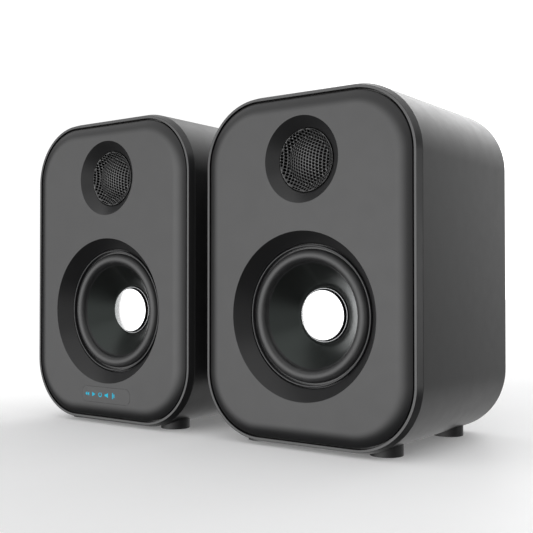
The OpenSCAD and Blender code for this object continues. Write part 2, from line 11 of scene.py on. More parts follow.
import bmesh
import bpy
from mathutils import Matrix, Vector
from mathutils.geometry import delaunay_2d_cdt
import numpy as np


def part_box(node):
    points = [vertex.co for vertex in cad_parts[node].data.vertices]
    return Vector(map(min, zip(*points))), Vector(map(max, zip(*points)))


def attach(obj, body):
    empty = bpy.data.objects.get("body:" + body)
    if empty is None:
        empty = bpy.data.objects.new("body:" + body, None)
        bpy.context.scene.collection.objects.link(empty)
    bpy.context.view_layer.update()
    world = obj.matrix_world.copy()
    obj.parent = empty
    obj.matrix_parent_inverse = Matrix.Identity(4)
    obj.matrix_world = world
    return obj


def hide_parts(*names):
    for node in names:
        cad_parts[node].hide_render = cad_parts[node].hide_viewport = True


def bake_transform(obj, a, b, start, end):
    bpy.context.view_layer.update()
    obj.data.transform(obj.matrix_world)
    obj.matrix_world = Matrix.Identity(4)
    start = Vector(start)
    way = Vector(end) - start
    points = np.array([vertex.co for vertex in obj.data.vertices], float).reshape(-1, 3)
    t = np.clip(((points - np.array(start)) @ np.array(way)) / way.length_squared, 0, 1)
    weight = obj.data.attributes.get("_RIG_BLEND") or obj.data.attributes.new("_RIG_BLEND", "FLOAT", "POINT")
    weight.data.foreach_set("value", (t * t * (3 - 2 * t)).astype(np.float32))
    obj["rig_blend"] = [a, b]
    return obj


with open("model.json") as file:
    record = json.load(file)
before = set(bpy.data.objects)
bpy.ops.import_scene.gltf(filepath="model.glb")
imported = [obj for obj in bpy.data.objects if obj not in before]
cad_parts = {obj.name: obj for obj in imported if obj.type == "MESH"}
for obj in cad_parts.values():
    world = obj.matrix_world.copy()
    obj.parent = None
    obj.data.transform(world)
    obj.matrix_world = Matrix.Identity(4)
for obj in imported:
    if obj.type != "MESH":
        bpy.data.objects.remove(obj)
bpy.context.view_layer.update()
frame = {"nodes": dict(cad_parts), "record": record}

MM = 0.001

# Case
CORNER_R = 40.5            # radius of the cabinet's long corners
WALL = 4.0
LEDGE = 3.0                # ledges inside the wall, for the baffle and the back panel
REAR_EDGE_R = 1.3          # rounding of the cabinet's rear edge
BOSS_R = 5.0               # screw bosses in the cabinet
BOSS_L = 14.0
SCREW_R = 1.6
SCREW_HEAD_R = 3.0
SCREW_X = 25.0             # from the middle, the screws in the top and bottom edges
SCREW_Z = 50.0             # from the middle, the screws in the sides
TRIM_TAPER = 1.5           # the trim ring's slant, across
TRIM_FACE = 1.6            # width of the trim ring's front face

# Baffle
PANEL_GAP = 0.1            # the baffle's and the back panel's edges to the cabinet's wall
ROLL_W = 8.6               # the rolled edge, across
ROLL_END = 0.4             # depth where the roll ends
FLAT_STRIPS = (1.0, 0.5)   # flat rings of even quads round a bevelled opening
EDGE_STRIPS = (0.3, 0.15)  # the same, along the rolled edge
BEVEL_LIP_R = 0.45         # rounding between the flat face and a bevel
BEVEL_FOOT_R = 0.3         # rounding between a bevel and its bore
TOUCH_CORNER_R = 4.3       # corners of the touch strip
TOUCH_GAP = 0.06           # the touch strip to its opening
TOUCH_CHAMFER = (0.06, 0.1)    # the opening's chamfer, across and deep
TOUCH_FLAT = 0.08          # flat ring round the chamfer
TOUCH_POCKET = (52.0, 14.0)    # pocket for the touch strip's board

# Back
PANEL_T = 4.0
PANEL_RECESS = 2.0         # back panel's face inside the cabinet's rear edge
PANEL_EDGE_R = 0.4
SCREW_CLEARANCE = 0.3
PORT_Z = 150.0             # reflex port above the underside
PORT_R = 16.0
PORT_WALL = 2.5
FLARE = 6.0                # radius of the port's flared mouth
SQUARE_FITTINGS = {"terminal_block": 2.0, "rocker_housing": 1.0}    # flange past the opening
ROUND_FITTINGS = {"volume_knob": 3.6, "aux_jack": 3.6, "power_jack": 5.6}    # opening's radius
BOARDS = {"amp_board": 18.0, "crossover": 12.0}    # a board's rear to the panel's outer face
POST_R = 2.5
POST_INSET = 4.0           # middle of a board's post to the board's edges
POST_SINK = 0.2            # a post's end inside the panel

# Woofer
RECESS_R = 48.75           # bevelled recess at the baffle's face
THROAT_R = 41.8            # bore behind the bevel
THROAT_DEPTH = 5.9
GASKET_R = 40.45           # middle of the gasket's bead
GASKET_W = 1.1
SURROUND_T = 0.8
SURROUND_LAP = 0.2         # surround over the cone's edge
ROLL_MID = 35.0            # circle that the surround's half-roll follows
ROLL_TUBE = 3.9            # outer radius of the half-roll
CONE_R = 30.6
CONE_T = 1.2
CONE_LIP = 1.4             # edge that the surround is glued to
FOOT_R = 16.4              # foot of the cone's slope, round the cap
FOOT_DEPTH = 22.6
NECK_R = 13.3
NECK_DEPTH = 23.3
CAP_R = 14.8
CAP_RISE = 1.5
CAP_T = 0.6
CAP_EDGE_R = 0.25
CAP_LIP = 0.5              # polished part of the cap's skirt
SKIRT_INSET = 0.1          # part of the skirt made near-black as painted shade, inside the polished one
RING_DEPTH = 22.1          # middle of the bright ring, at the foot of the slope
SPIDER_T = 0.4
SPIDER_FLAT = 1.2          # flat edges of the spider, inside and outside its waves
SPIDER_WAVES = 3

# Tweeter
TWEETER_RECESS_R = 25.0    # bevelled recess at the baffle's face
TWEETER_BORE_R = 18.7      # bore behind the bevel
GRILLE_R = 18.4
GRILLE_T = 0.5             # the grille's rim
GRILLE_EDGE_DEPTH = 2.3
VALLEY_R = 14.1            # circle where the grille's brim meets its dome
VALLEY_DEPTH = 5.6
VALLEY_SOFT = 0.7          # rounding of the valley
SHEET_T = 0.2              # perforated sheet
HOLE_STEPS = ((1.86, -0.82), (0.14, 1.86))     # from a perforation to its neighbours
HOLE_R = 0.8
HOLE_INSET = 0.2           # least distance from a perforation's middle to the sheet's edge
HOLE_EDGE = 0.1            # sheet left outside a perforation that is cut short
RIM_W = 0.6                # solid rim over the sheet's edge
RIM_PROUD = 0.1

# Meshes
CORNER_STEPS = 28          # segments in a quarter turn of a cabinet's outline
SIDE_STEPS = 6             # segments along a straight side of an outline
ROUND_STEPS = 144          # segments in a full turn of a revolved part
BEND_STEPS = 4             # segments in a rounded corner of a profile
WAVE_STEPS = 12            # segments in a wave of the spider
CELL_STEPS = 3             # segments along a side of the grille's cells
WELD_GAP = 0.002           # points this close are merged in a carried-over part
BEVEL_ANGLE = 35.0         # edges that turn more than this are rounded
SHARP_ANGLE = 38.0         # edges that turn more than this are shaded as sharp


class Speaker:
    """Where one speaker's features are, in millimetres, read from the frame."""

    def __init__(self, side):
        self.side = side
        self.body = side + "_speaker"
        self.boxes = {}
        low, high = self.box("cabinet")
        self.x = (low.x + high.x) / 2
        self.mid_z = (low.z + high.z) / 2
        self.base_z = low.z
        self.span_x = (high.x - low.x) / 2 - CORNER_R
        self.span_z = (high.z - low.z) / 2 - CORNER_R
        self.front = self.box("trim_ring")[0].y
        self.trim_depth = low.y - self.front
        self.rear_depth = high.y - self.front
        low, high = self.box("baffle")
        self.face_depth = low.y - self.front
        self.baffle_depth = high.y - self.front
        self.woofer_z = self.middle("cone").z
        self.tweeter_z = self.middle("tweeter_grille").z
        self.panel_depth = self.rear_depth - PANEL_RECESS

    def box(self, part):
        """Lowest and highest corner of a part."""
        if part not in self.boxes:
            low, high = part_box(f"{self.side}_{part}")
            self.boxes[part] = (low / MM, high / MM)
        return self.boxes[part]

    def middle(self, part):
        low, high = self.box(part)
        return (low + high) / 2

    def depth(self, part):
        """Depth of a part's front."""
        return self.box(part)[0].y - self.front


# ---------------------------------------------------------------- outlines and profiles


def arc(cx, cy, r, start, end, steps):
    """Points on an arc, angles in degrees."""
    turns = [math.radians(start + (end - start) * i / steps) for i in range(steps + 1)]
    return [(cx + r * math.cos(t), cy + r * math.sin(t)) for t in turns]


def circle(cx, cy, r, steps=ROUND_STEPS):
    return arc(cx, cy, r, 0, 360, steps)[:-1]


def rounded_box(cx, cy, half_w, half_h, r, corner_steps=CORNER_STEPS, side_steps=SIDE_STEPS):
    """A rounded rectangle's outline: corner centres at half_w, half_h from the middle."""
    corners = [
        arc(cx + sx * half_w, cy + sy * half_h, r, start, start + 90, corner_steps)
        for sx, sy, start in ((1, 1, 0), (-1, 1, 90), (-1, -1, 180), (1, -1, 270))
    ]
    points = []
    for corner, following in zip(corners, corners[1:] + corners[:1]):
        points.extend(corner)
        here, there = Vector(corner[-1]), Vector(following[0])
        points.extend(tuple(here.lerp(there, i / side_steps)) for i in range(1, side_steps))
    return points


def rectangle(cx, cy, w, h):
    return [(cx + sx * w / 2, cy + sy * h / 2) for sx, sy in ((1, 1), (-1, 1), (-1, -1), (1, -1))]


def rounded(points, radii, closed=True):
    """A polyline with each corner rounded to its radius, where 0 keeps it sharp."""
    made = []
    for i, (point, r) in enumerate(zip(points, radii)):
        if not r or (not closed and i in (0, len(points) - 1)):
            made.append(point)
            continue
        here = Vector(point)
        a = (Vector(points[i - 1]) - here).normalized()
        b = (Vector(points[(i + 1) % len(points)]) - here).normalized()
        half = a.angle(b) / 2
        reach = r / math.tan(half)
        start, end = here + a * reach, here + b * reach
        centre = here + (a + b).normalized() * (r / math.sin(half))
        first, last = start - centre, end - centre
        turn = first.angle_signed(last)
        for step in range(BEND_STEPS + 1):
            t = -turn * step / BEND_STEPS
            made.append((
                centre.x + first.x * math.cos(t) - first.y * math.sin(t),
                centre.y + first.x * math.sin(t) + first.y * math.cos(t),
            ))
    return made


# ---------------------------------------------------------------- mesh building


class Shape:
    """Collects the points and faces of one piece, in millimetres."""

    def __init__(self):
        self.points = []
        self.faces = []

    def loop(self, points):
        """Adds points and returns their numbers."""
        start = len(self.points)
        self.points.extend(Vector(p) for p in points)
        return list(range(start, len(self.points)))

    def flat_loop(self, outline, y):
        """Adds an outline of (x, z) points standing at one y."""
        return self.loop([(x, y, z) for x, z in outline])

    def bridge(self, a, b):
        """Quads between two closed loops of the same length."""
        count = len(a)
        for i in range(count):
            j = (i + 1) % count
            self.faces.append((a[i], a[j], b[j], b[i]))

    def skin(self, loops, closed=False):
        """Quads through a row of loops, and back to the first one if closed."""
        for a, b in zip(loops, loops[1:]):
            self.bridge(a, b)
        if closed:
            self.bridge(loops[-1], loops[0])

    def fan(self, loop, tip):
        """Triangles from a closed loop to one point."""
        tip = self.loop([tip])[0]
        for i in range(len(loop)):
            self.faces.append((loop[i], loop[(i + 1) % len(loop)], tip))

    def fill(self, outer, holes=()):
        """A flat face standing at one y, with holes, as evenly shaped triangles."""
        numbers, rings = [], []
        for ring in (outer, *holes):
            rings.append(list(range(len(numbers), len(numbers) + len(ring))))
            numbers.extend(ring)
        spots = [self.points[n].xz for n in numbers]
        inside_only, tolerance = 1, 1e-5
        _, _, triangles, origins, _, covered = delaunay_2d_cdt(
            spots, [], rings, inside_only, tolerance
        )
        for triangle, inside in zip(triangles, covered):
            if inside == [0]:
                self.faces.append([numbers[origins[i][0]] for i in triangle])

    def turned(self, cx, cz, front, profile, steps=ROUND_STEPS):
        """Loops of a profile of (radius, depth) turned round a Y axis."""
        return [self.flat_loop(circle(cx, cz, r, steps), front + depth) for r, depth in profile]

    def swept(self, speaker, profile):
        """Loops of a profile of (distance beyond the corner centres, depth) round a cabinet."""
        return [
            self.flat_loop(
                rounded_box(speaker.x, speaker.mid_z, speaker.span_x, speaker.span_z, out),
                speaker.front + depth,
            )
            for out, depth in profile
        ]

    def object(self, name, sharp=SHARP_ANGLE):
        """Makes the Blender object, its faces turned outwards and its sharp edges marked."""
        work = bmesh.new()
        made = [work.verts.new(p * MM) for p in self.points]
        for face in self.faces:
            work.faces.new([made[n] for n in face])
        bmesh.ops.remove_doubles(work, verts=work.verts, dist=1e-7)
        bmesh.ops.recalc_face_normals(work, faces=work.faces)
        mesh = bpy.data.meshes.new(name)
        work.to_mesh(mesh)
        work.free()
        mesh.polygons.foreach_set("use_smooth", [True] * len(mesh.polygons))
        mesh.set_sharp_from_angle(angle=math.radians(sharp))
        obj = bpy.data.objects.new(name, mesh)
        bpy.context.scene.collection.objects.link(obj)
        return obj


def soften(obj, width=0.0):
    """Rounds hard edges by width and keeps flat faces flat in the shading."""
    if width:
        weld = obj.modifiers.new("weld", "WELD")
        weld.merge_threshold = WELD_GAP * MM
        bevel = obj.modifiers.new("bevel", "BEVEL")
        bevel.width = width * MM
        bevel.segments = 2
        bevel.limit_method = "ANGLE"
        bevel.angle_limit = math.radians(BEVEL_ANGLE)
    normals = obj.modifiers.new("normals", "WEIGHTED_NORMAL")
    normals.keep_sharp = True
    return obj


def ring_piece(name, speaker, z, profile):
    """A closed ring turned from a closed profile about a speaker's axis at height z."""
    shape = Shape()
    shape.skin(shape.turned(speaker.x, z, speaker.front, profile), closed=True)
    return soften(shape.object(name))


def dome_depth(r, rim_r, rise, top):
    """Depth at radius r of a dome that stands rise in front of its rim."""
    ball = (rim_r**2 + rise**2) / (2 * rise)
    return top + ball - math.sqrt(ball**2 - r**2)


# ---------------------------------------------------------------- materials


class Tree:
    """Shortcuts for building a node tree. Sizes are in millimetres."""

    def __init__(self, owner):
        owner.use_nodes = True
        self.tree = owner.node_tree
        self.place = self.node("ShaderNodeTexCoord").outputs["Object"]

    def node(self, kind, inputs=None, **settings):
        made = self.tree.nodes.new(kind)
        for key, value in settings.items():
            setattr(made, key, value)
        self.set(made, inputs or {})
        return made

    def set(self, node, inputs):
        """Links or sets a node's inputs, given by name or number."""
        for key, value in inputs.items():
            socket = node.inputs[key]
            if isinstance(value, bpy.types.NodeSocket):
                self.tree.links.new(value, socket)
            elif isinstance(value, tuple):
                socket.default_value = (*value, 1.0)[: len(socket.default_value)]
            else:
                socket.default_value = value

    def noise(self, size, detail=3.0, place=None):
        """Noise whose features are about size across, from 0 to 1."""
        inputs = {"Vector": place or self.place, "Scale": 1 / (size * MM), "Detail": detail}
        return self.node("ShaderNodeTexNoise", {**inputs, "Roughness": 0.55}).outputs["Fac"]

    def cells(self, size):
        """Distance to the nearest of scattered points about size apart."""
        made = self.node("ShaderNodeTexVoronoi", {"Vector": self.place, "Scale": 1 / (size * MM)})
        return made.outputs["Distance"]

    def span(self, value, low, high, from_low=0.0, from_high=1.0, smooth=False):
        """Value stretched from one range to another."""
        ranges = {"From Min": from_low, "From Max": from_high, "To Min": low, "To Max": high}
        inputs = {"Value": value, **ranges}
        kind = "SMOOTHSTEP" if smooth else "LINEAR"
        return self.node("ShaderNodeMapRange", inputs, interpolation_type=kind).outputs["Result"]

    def blend(self, factor, a, b):
        """A colour between a and b."""
        return self.node("ShaderNodeMix", {0: factor, 6: a, 7: b}, data_type="RGBA").outputs[2]

    def math(self, operation, a, b=0.0):
        return self.node("ShaderNodeMath", {0: a, 1: b}, operation=operation).outputs[0]


class Finish(Tree):
    """A procedural material round one Principled shader."""

    def __init__(self, name, colour, roughness, **inputs):
        self.material = bpy.data.materials.new(name)
        super().__init__(self.material)
        self.shader = self.tree.nodes["Principled BSDF"]
        self.set(self.shader, {"Base Color": colour, "Roughness": roughness, **inputs})

    def bump(self, height, depth, after=None):
        """Bump depth millimetres high, on top of an earlier bump."""
        inputs = {"Height": height, "Distance": depth * MM}
        if after:
            inputs["Normal"] = after
        return self.node("ShaderNodeBump", inputs).outputs["Normal"]

    def edges(self):
        """1 along raised edges and 0 on flat faces."""
        pointed = self.node("ShaderNodeNewGeometry").outputs["Pointiness"]
        return self.span(pointed, 0.0, 1.0, 0.52, 0.62)


def scaled(colour, factor):
    return tuple(c * factor for c in colour)


def plastic(name, colour, roughness, grain=0.35, grain_depth=0.012, wear=1.6, spread=0.05, **inputs):
    """Moulded plastic: fine spark-eroded grain, faint flow marks and, with wear, paler edges."""
    finish = Finish(name, colour, roughness, **inputs)
    flow = finish.noise(30, 2)
    base = finish.blend(flow, scaled(colour, 0.93), scaled(colour, 1.07))
    if wear:
        base = finish.blend(finish.edges(), base, scaled(colour, wear))
    fine = finish.noise(grain, 2)
    finish.set(finish.shader, {
        "Base Color": base,
        "Roughness": finish.span(finish.noise(9, 4), roughness - spread, roughness + spread),
        "Normal": finish.bump(fine, grain_depth),
    })
    return finish.material


def rubber(name, colour, roughness):
    """Rubber: dull, with a soft mottled skin and a little dust."""
    finish = Finish(name, colour, roughness)
    dust = finish.span(finish.noise(6, 5), 0.0, 1.0, 0.5, 0.75)
    skin = finish.bump(finish.noise(0.5, 3), 0.02)
    finish.set(finish.shader, {
        "Base Color": finish.blend(dust, colour, scaled(colour, 1.35)),
        "Roughness": finish.span(dust, roughness - 0.03, roughness + 0.07),
        "Normal": finish.bump(finish.noise(7, 2), 0.05, after=skin),
    })
    return finish.material


def metal(name, colour, roughness, brushed=0.0):
    """Metal with fine marks: turned rings about Y when brushed, a blasted skin otherwise."""
    finish = Finish(name, colour, roughness, Metallic=1.0)
    skin = finish.bump(finish.noise(0.6, 3), 0.01)
    if brushed:
        stretched = finish.node(
            "ShaderNodeMapping", {"Vector": finish.place, "Scale": (1.0, 0.02, 1.0)}
        ).outputs["Vector"]
        skin = finish.bump(finish.noise(brushed, 4, place=stretched), 0.01, after=skin)
    tone = finish.noise(14, 3)
    finish.set(finish.shader, {
        "Base Color": finish.blend(tone, scaled(colour, 0.9), scaled(colour, 1.05)),
        "Roughness": finish.span(finish.noise(3, 4), roughness * 0.8, roughness * 1.2),
        "Normal": skin,
    })
    return finish.material


def cloth(name, colour, thread, sheen=0.2):
    """Coated woven cloth: crossed threads as bump, and as a tone paler on the threads and darker between
    them, painted light and shade.
    """
    finish = Finish(name, colour, 0.75, **{"Sheen Weight": sheen, "Specular IOR Level": 0.1})
    threads = []
    for direction in ("X", "Z"):
        wave = finish.node(
            "ShaderNodeTexWave",
            {"Vector": finish.place, "Scale": 0.3 / (thread * MM), "Distortion": 0.3},
            wave_type="BANDS", bands_direction=direction,
        )
        threads.append(wave.outputs["Fac"])
    weave = finish.math("MAXIMUM", *threads)
    finish.set(finish.shader, {
        # painted light and shade: paler on the threads, darker between them
        "Base Color": finish.blend(weave, scaled(colour, 0.6), scaled(colour, 1.15)),
        "Normal": finish.bump(weave, thread * 0.3),
    })
    return finish.material


def board(name, colour):
    """Circuit board: solder mask over raised copper tracks, with tinned pads."""
    finish = Finish(name, colour, 0.35)
    tracks = finish.node(
        "ShaderNodeTexBrick",
        {"Vector": finish.place, "Scale": 1 / (4 * MM), "Mortar Size": 0.012, "Color1": (0, 0, 0),
         "Color2": (0, 0, 0), "Mortar": (1, 1, 1)},
    ).outputs["Color"]
    pads = finish.span(finish.cells(5), 1.0, 0.0, 0.08, 0.1)
    masked = finish.blend(tracks, colour, scaled(colour, 1.8))
    finish.set(finish.shader, {
        "Base Color": finish.blend(pads, masked, (0.55, 0.55, 0.52)),
        "Metallic": pads,
        "Normal": finish.bump(tracks, 0.03),
    })
    return finish.material


def winding(name, colour):
    """Enamelled copper wire wound about Y, 0.2 mm thick, with painted shade in the grooves between the
    turns.
    """
    finish = Finish(name, colour, 0.3, Metallic=1.0)
    turns = finish.node(
        "ShaderNodeTexWave", {"Vector": finish.place, "Scale": 0.3 / (0.2 * MM)},
        wave_type="BANDS", bands_direction="Y",
    ).outputs["Fac"]
    finish.set(finish.shader, {
        # painted shade: darker in the grooves between turns
        "Base Color": finish.blend(turns, scaled(colour, 0.5), colour),
        "Normal": finish.bump(turns, 0.08),
    })
    return finish.material


def lit(name, colour, strength):
    """Icon lit from behind, brighter where its lamp is."""
    finish = Finish(name, scaled(colour, 0.2), 0.3, **{"Specular IOR Level": 0.1})
    glow = finish.span(finish.noise(2.5, 1), 0.75 * strength, strength)
    finish.set(finish.shader, {"Emission Color": colour, "Emission Strength": glow})
    return finish.material


# ---------------------------------------------------------------- pieces: case


def place(obj, speaker, part, material, slot):
    """Gives a piece its material and hides the CAD node it stands for."""
    obj.data.materials.append(material)
    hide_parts(f"{speaker.side}_{part}")


def cabinet(speaker):
    """The cabinet's shell with the ledges and the screw bosses inside it."""
    inner = CORNER_R - WALL
    front, back = speaker.trim_depth, speaker.rear_depth
    rest = speaker.panel_depth - PANEL_T
    seat = speaker.baffle_depth
    # Distance out, depth and rounding of each corner of the wall's section
    corners = [
        (inner, front, 0), (CORNER_R, front, 0.25),
        (CORNER_R, back, REAR_EDGE_R), (inner, back, 0.5),
        (inner, rest, 0), (inner - LEDGE, rest, 0.3),
        (inner - LEDGE, rest - LEDGE, 0.3), (inner, rest - LEDGE, 0),
        (inner, seat + LEDGE, 0), (inner - LEDGE, seat + LEDGE, 0.3),
        (inner - LEDGE, seat, 0.3), (inner, seat, 0),
    ]
    profile = rounded([c[:2] for c in corners], [c[2] for c in corners])
    shape = Shape()
    shape.skin(shape.swept(speaker, profile), closed=True)
    for x, z in screw_spots(speaker):
        boss = [(SCREW_R, rest - BOSS_L), (BOSS_R, rest - BOSS_L), (BOSS_R, rest), (SCREW_R, rest)]
        shape.skin(shape.turned(x, z, speaker.front, boss, 32), closed=True)
    return soften(shape.object(f"{speaker.side}_cabinet_shell"))


def screw_spots(speaker):
    """Centres of the back panel's eight screws."""
    low, high = speaker.box("panel_screws")
    out_x, out_z = (high.x - low.x) / 2 - SCREW_HEAD_R, (high.z - low.z) / 2 - SCREW_HEAD_R
    spots = [(sx * out_x, sz * SCREW_Z) for sx in (-1, 1) for sz in (-1, 1)]
    spots += [(sx * SCREW_X, sz * out_z) for sx in (-1, 1) for sz in (-1, 1)]
    return [(speaker.x + x, speaker.mid_z + z) for x, z in spots]


def trim_ring(speaker):
    """The slanted band round the front."""
    outer = CORNER_R - TRIM_TAPER
    inner = outer - TRIM_FACE
    points = [(inner, 0), (outer, 0), (CORNER_R, speaker.trim_depth), (inner, speaker.trim_depth)]
    shape = Shape()
    shape.skin(shape.swept(speaker, rounded(points, [0.2, 0.3, 0.2, 0])), closed=True)
    return soften(shape.object(f"{speaker.side}_trim_band"))


def bevelled_opening(shape, speaker, z, face_r, back_r, bend_depth):
    """Loops of a bevelled opening, from the baffle's face to its back."""
    face, back = speaker.face_depth, speaker.baffle_depth
    bevel = rounded(
        [(face_r + FLAT_STRIPS[-1], face), (face_r, face), (back_r, bend_depth), (back_r, back)],
        [0, BEVEL_LIP_R, BEVEL_FOOT_R, 0], closed=False,
    )
    strips = [(face_r + strip, face) for strip in FLAT_STRIPS[:-1]]
    loops = shape.turned(speaker.x, z, speaker.front, strips + bevel)
    shape.skin(loops)
    return loops[0], loops[-1]


def strip_opening(shape, speaker):
    """Loops of the opening for the touch strip, with the pocket for its board behind."""
    low, high = speaker.box("touch_window")
    cx, cz = (low.x + high.x) / 2, (low.z + high.z) / 2
    half_w = (high.x - low.x) / 2 - TOUCH_CORNER_R
    half_h = (high.z - low.z) / 2 - TOUCH_CORNER_R
    face = speaker.face_depth
    across, deep = TOUCH_CHAMFER
    profile = [
        (TOUCH_GAP + across + TOUCH_FLAT, face), (TOUCH_GAP + across, face),
        (TOUCH_GAP, face + deep), (TOUCH_GAP, high.y - speaker.front),
    ]
    loops = [
        shape.flat_loop(
            rounded_box(cx, cz, half_w, half_h, TOUCH_CORNER_R + gap, corner_steps=10, side_steps=2),
            speaker.front + depth,
        )
        for gap, depth in profile
    ]
    shape.skin(loops)
    pocket = rectangle(cx, cz, *TOUCH_POCKET)
    step = shape.flat_loop(pocket, high.y)
    back = shape.flat_loop(pocket, speaker.front + speaker.baffle_depth)
    shape.fill(step, [loops[-1]])
    shape.bridge(step, back)
    return loops[0], back


def baffle(speaker):
    """The front panel: flat face, rolled edge and bevelled openings."""
    edge = CORNER_R - WALL - PANEL_GAP
    flat = edge - ROLL_W
    drop = ROLL_END - speaker.face_depth
    roll_r = (ROLL_W**2 + drop**2) / (2 * drop)
    sweep = math.degrees(math.asin(ROLL_W / roll_r))
    roll = arc(flat, speaker.face_depth + roll_r, roll_r, -90, sweep - 90, 18)
    shape = Shape()
    strips = [(flat - strip, speaker.face_depth) for strip in EDGE_STRIPS]
    outside = shape.swept(speaker, strips + roll + [(edge, speaker.baffle_depth)])
    shape.skin(outside)
    openings = [
        bevelled_opening(shape, speaker, speaker.woofer_z, RECESS_R, THROAT_R, THROAT_DEPTH),
        bevelled_opening(
            shape, speaker, speaker.tweeter_z, TWEETER_RECESS_R, TWEETER_BORE_R,
            GRILLE_EDGE_DEPTH + GRILLE_T,
        ),
    ]
    if f"{speaker.side}_touch_window" in frame["nodes"]:
        openings.append(strip_opening(shape, speaker))
    shape.fill(outside[0], [front for front, _ in openings])
    shape.fill(outside[-1], [back for _, back in openings])
    return soften(shape.object(f"{speaker.side}_front_panel"))


# ---------------------------------------------------------------- pieces: woofer


def gasket(speaker):
    """The beaded ring round the surround."""
    top, back = speaker.depth("woofer_gasket"), speaker.baffle_depth - SURROUND_T
    low, high = GASKET_R - GASKET_W / 2, GASKET_R + GASKET_W / 2
    bead = arc(GASKET_R, top + GASKET_W / 2, GASKET_W / 2, -180, 0, 10)
    profile = [(low, back), *bead, (high, back)]
    return ring_piece(f"{speaker.side}_gasket", speaker, speaker.woofer_z, profile)


def surround(speaker):
    """The half-roll rubber surround, which bends between the frame and the cone."""
    back = speaker.baffle_depth
    front = back - SURROUND_T
    bore = ROLL_TUBE - SURROUND_T
    lift = math.degrees(math.asin(SURROUND_T / ROLL_TUBE))
    profile = [(GASKET_R, front)]
    profile += arc(ROLL_MID, back, ROLL_TUBE, -lift, lift - 180, 28)
    profile.append((CONE_R - SURROUND_LAP, back + SURROUND_LAP))
    profile += arc(ROLL_MID, back, bore, 180, 360, 20)
    profile.append((GASKET_R, back))
    piece = ring_piece(f"{speaker.side}_roll_surround", speaker, speaker.woofer_z, profile)
    flex_between(piece, speaker, ROLL_MID + bore, ROLL_MID - bore)
    return piece


def flex_between(piece, speaker, fixed_r, moving_r):
    """Makes a disc bend between the speaker's body, at fixed_r, and the woofer's, at moving_r."""
    axis = Vector((speaker.x, 0, speaker.woofer_z)) * MM
    start, end = (axis + Vector((r * MM, 0, 0)) for r in (fixed_r, moving_r))
    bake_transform(piece, speaker.body, f"{speaker.side}_woofer", start, end)
    weights = piece.data.attributes["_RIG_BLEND"].data
    for vertex, weight in zip(piece.data.vertices, weights):
        out = vertex.co - axis
        share = (fixed_r - math.hypot(out.x, out.z) / MM) / (fixed_r - moving_r)
        share = min(1.0, max(0.0, share))
        weight.value = share * share * (3 - 2 * share)


def cone(speaker):
    """The cone, with a lip that the surround is glued to."""
    front = speaker.depth("cone")
    # Radius, depth and rounding of each corner, down the front and back up behind
    points = [
        (CONE_R + CONE_LIP, front, 0.2), (CONE_R, front, 0.3), (FOOT_R, FOOT_DEPTH, 0.3),
        (NECK_R, NECK_DEPTH, 0.1), (NECK_R, NECK_DEPTH + CONE_T, 0),
        (FOOT_R + 0.4, FOOT_DEPTH + CONE_T, 0), (CONE_R + 0.1, front + CONE_T, 0),
        (CONE_R + CONE_LIP, front + SURROUND_T, 0),
    ]
    profile = rounded([p[:2] for p in points], [p[2] for p in points])
    return ring_piece(f"{speaker.side}_woofer_cone", speaker, speaker.woofer_z, profile)


def dust_cap(speaker):
    """The polished cap: a shallow dome with a short lip."""
    top = speaker.depth("dust_cap")
    shape = Shape()
    outer = [
        (r, dome_depth(r, CAP_R, CAP_RISE, top))
        for r in [(CAP_R - CAP_EDGE_R) * math.sin(math.pi / 2 * i / 24) for i in range(1, 25)]
    ]
    rim = outer[-1][1]
    outer += arc(CAP_R - CAP_EDGE_R, rim + CAP_EDGE_R, CAP_EDGE_R, -70, 0, 4)
    outer += [(CAP_R, rim + CAP_LIP), (CAP_R - CAP_T, rim + CAP_LIP)]
    inner = [
        (r, dome_depth(r, CAP_R, CAP_RISE, top) + CAP_T)
        for r in [(CAP_R - CAP_T) * i / 12 for i in range(12, 0, -1)]
    ]
    loops = shape.turned(speaker.x, speaker.woofer_z, speaker.front, outer + inner)
    shape.skin(loops)
    shape.fan(loops[0], (speaker.x, speaker.front + top, speaker.woofer_z))
    shape.fan(loops[-1], (speaker.x, speaker.front + top + CAP_T, speaker.woofer_z))
    return soften(shape.object(f"{speaker.side}_polished_cap"))


def cap_foot(speaker):
    """The part of the cap's skirt below its polished lip, which stands on the cone: near-black as painted
    shade in the gap round the cap.
    """
    top = speaker.depth("dust_cap") + CAP_RISE + CAP_LIP
    back = speaker.box("dust_cap")[1].y - speaker.front
    outer = CAP_R - SKIRT_INSET
    profile = [(outer - CAP_T, top), (outer, top), (outer, back), (outer - CAP_T, back)]
    return ring_piece(f"{speaker.side}_cap_foot", speaker, speaker.woofer_z, profile)


def cap_ring(speaker):
    """The thin bright ring round the cap."""
    low, high = speaker.box("cap_ring")
    tube = (high.y - low.y) / 2
    middle_r = (high.x - low.x) / 2 - tube
    profile = circle(middle_r, RING_DEPTH, tube, 16)
    return ring_piece(f"{speaker.side}_bright_ring", speaker, speaker.woofer_z, profile)


def spider(speaker):
    """The corrugated disc that centres the voice coil. It bends with the cone."""
    low, high = speaker.box("spider")
    outer = (high.x - low.x) / 2
    rest = high.y - speaker.front - SPIDER_T
    rise = rest - (low.y - speaker.front)
    start, end = NECK_R + SPIDER_FLAT, outer - SPIDER_FLAT
    front = []
    for i in range(SPIDER_WAVES * WAVE_STEPS + 1):
        share = i / (SPIDER_WAVES * WAVE_STEPS)
        wave = (1 - math.cos(2 * math.pi * SPIDER_WAVES * share)) / 2
        front.append((start + (end - start) * share, rest - rise * wave))
    front = [(NECK_R, rest), *front, (outer, rest)]
    back = [(r, depth + SPIDER_T) for r, depth in reversed(front)]
    piece = ring_piece(f"{speaker.side}_corrugated_spider", speaker, speaker.woofer_z, front + back)
    flex_between(piece, speaker, end, start)
    return piece


# ---------------------------------------------------------------- pieces: tweeter


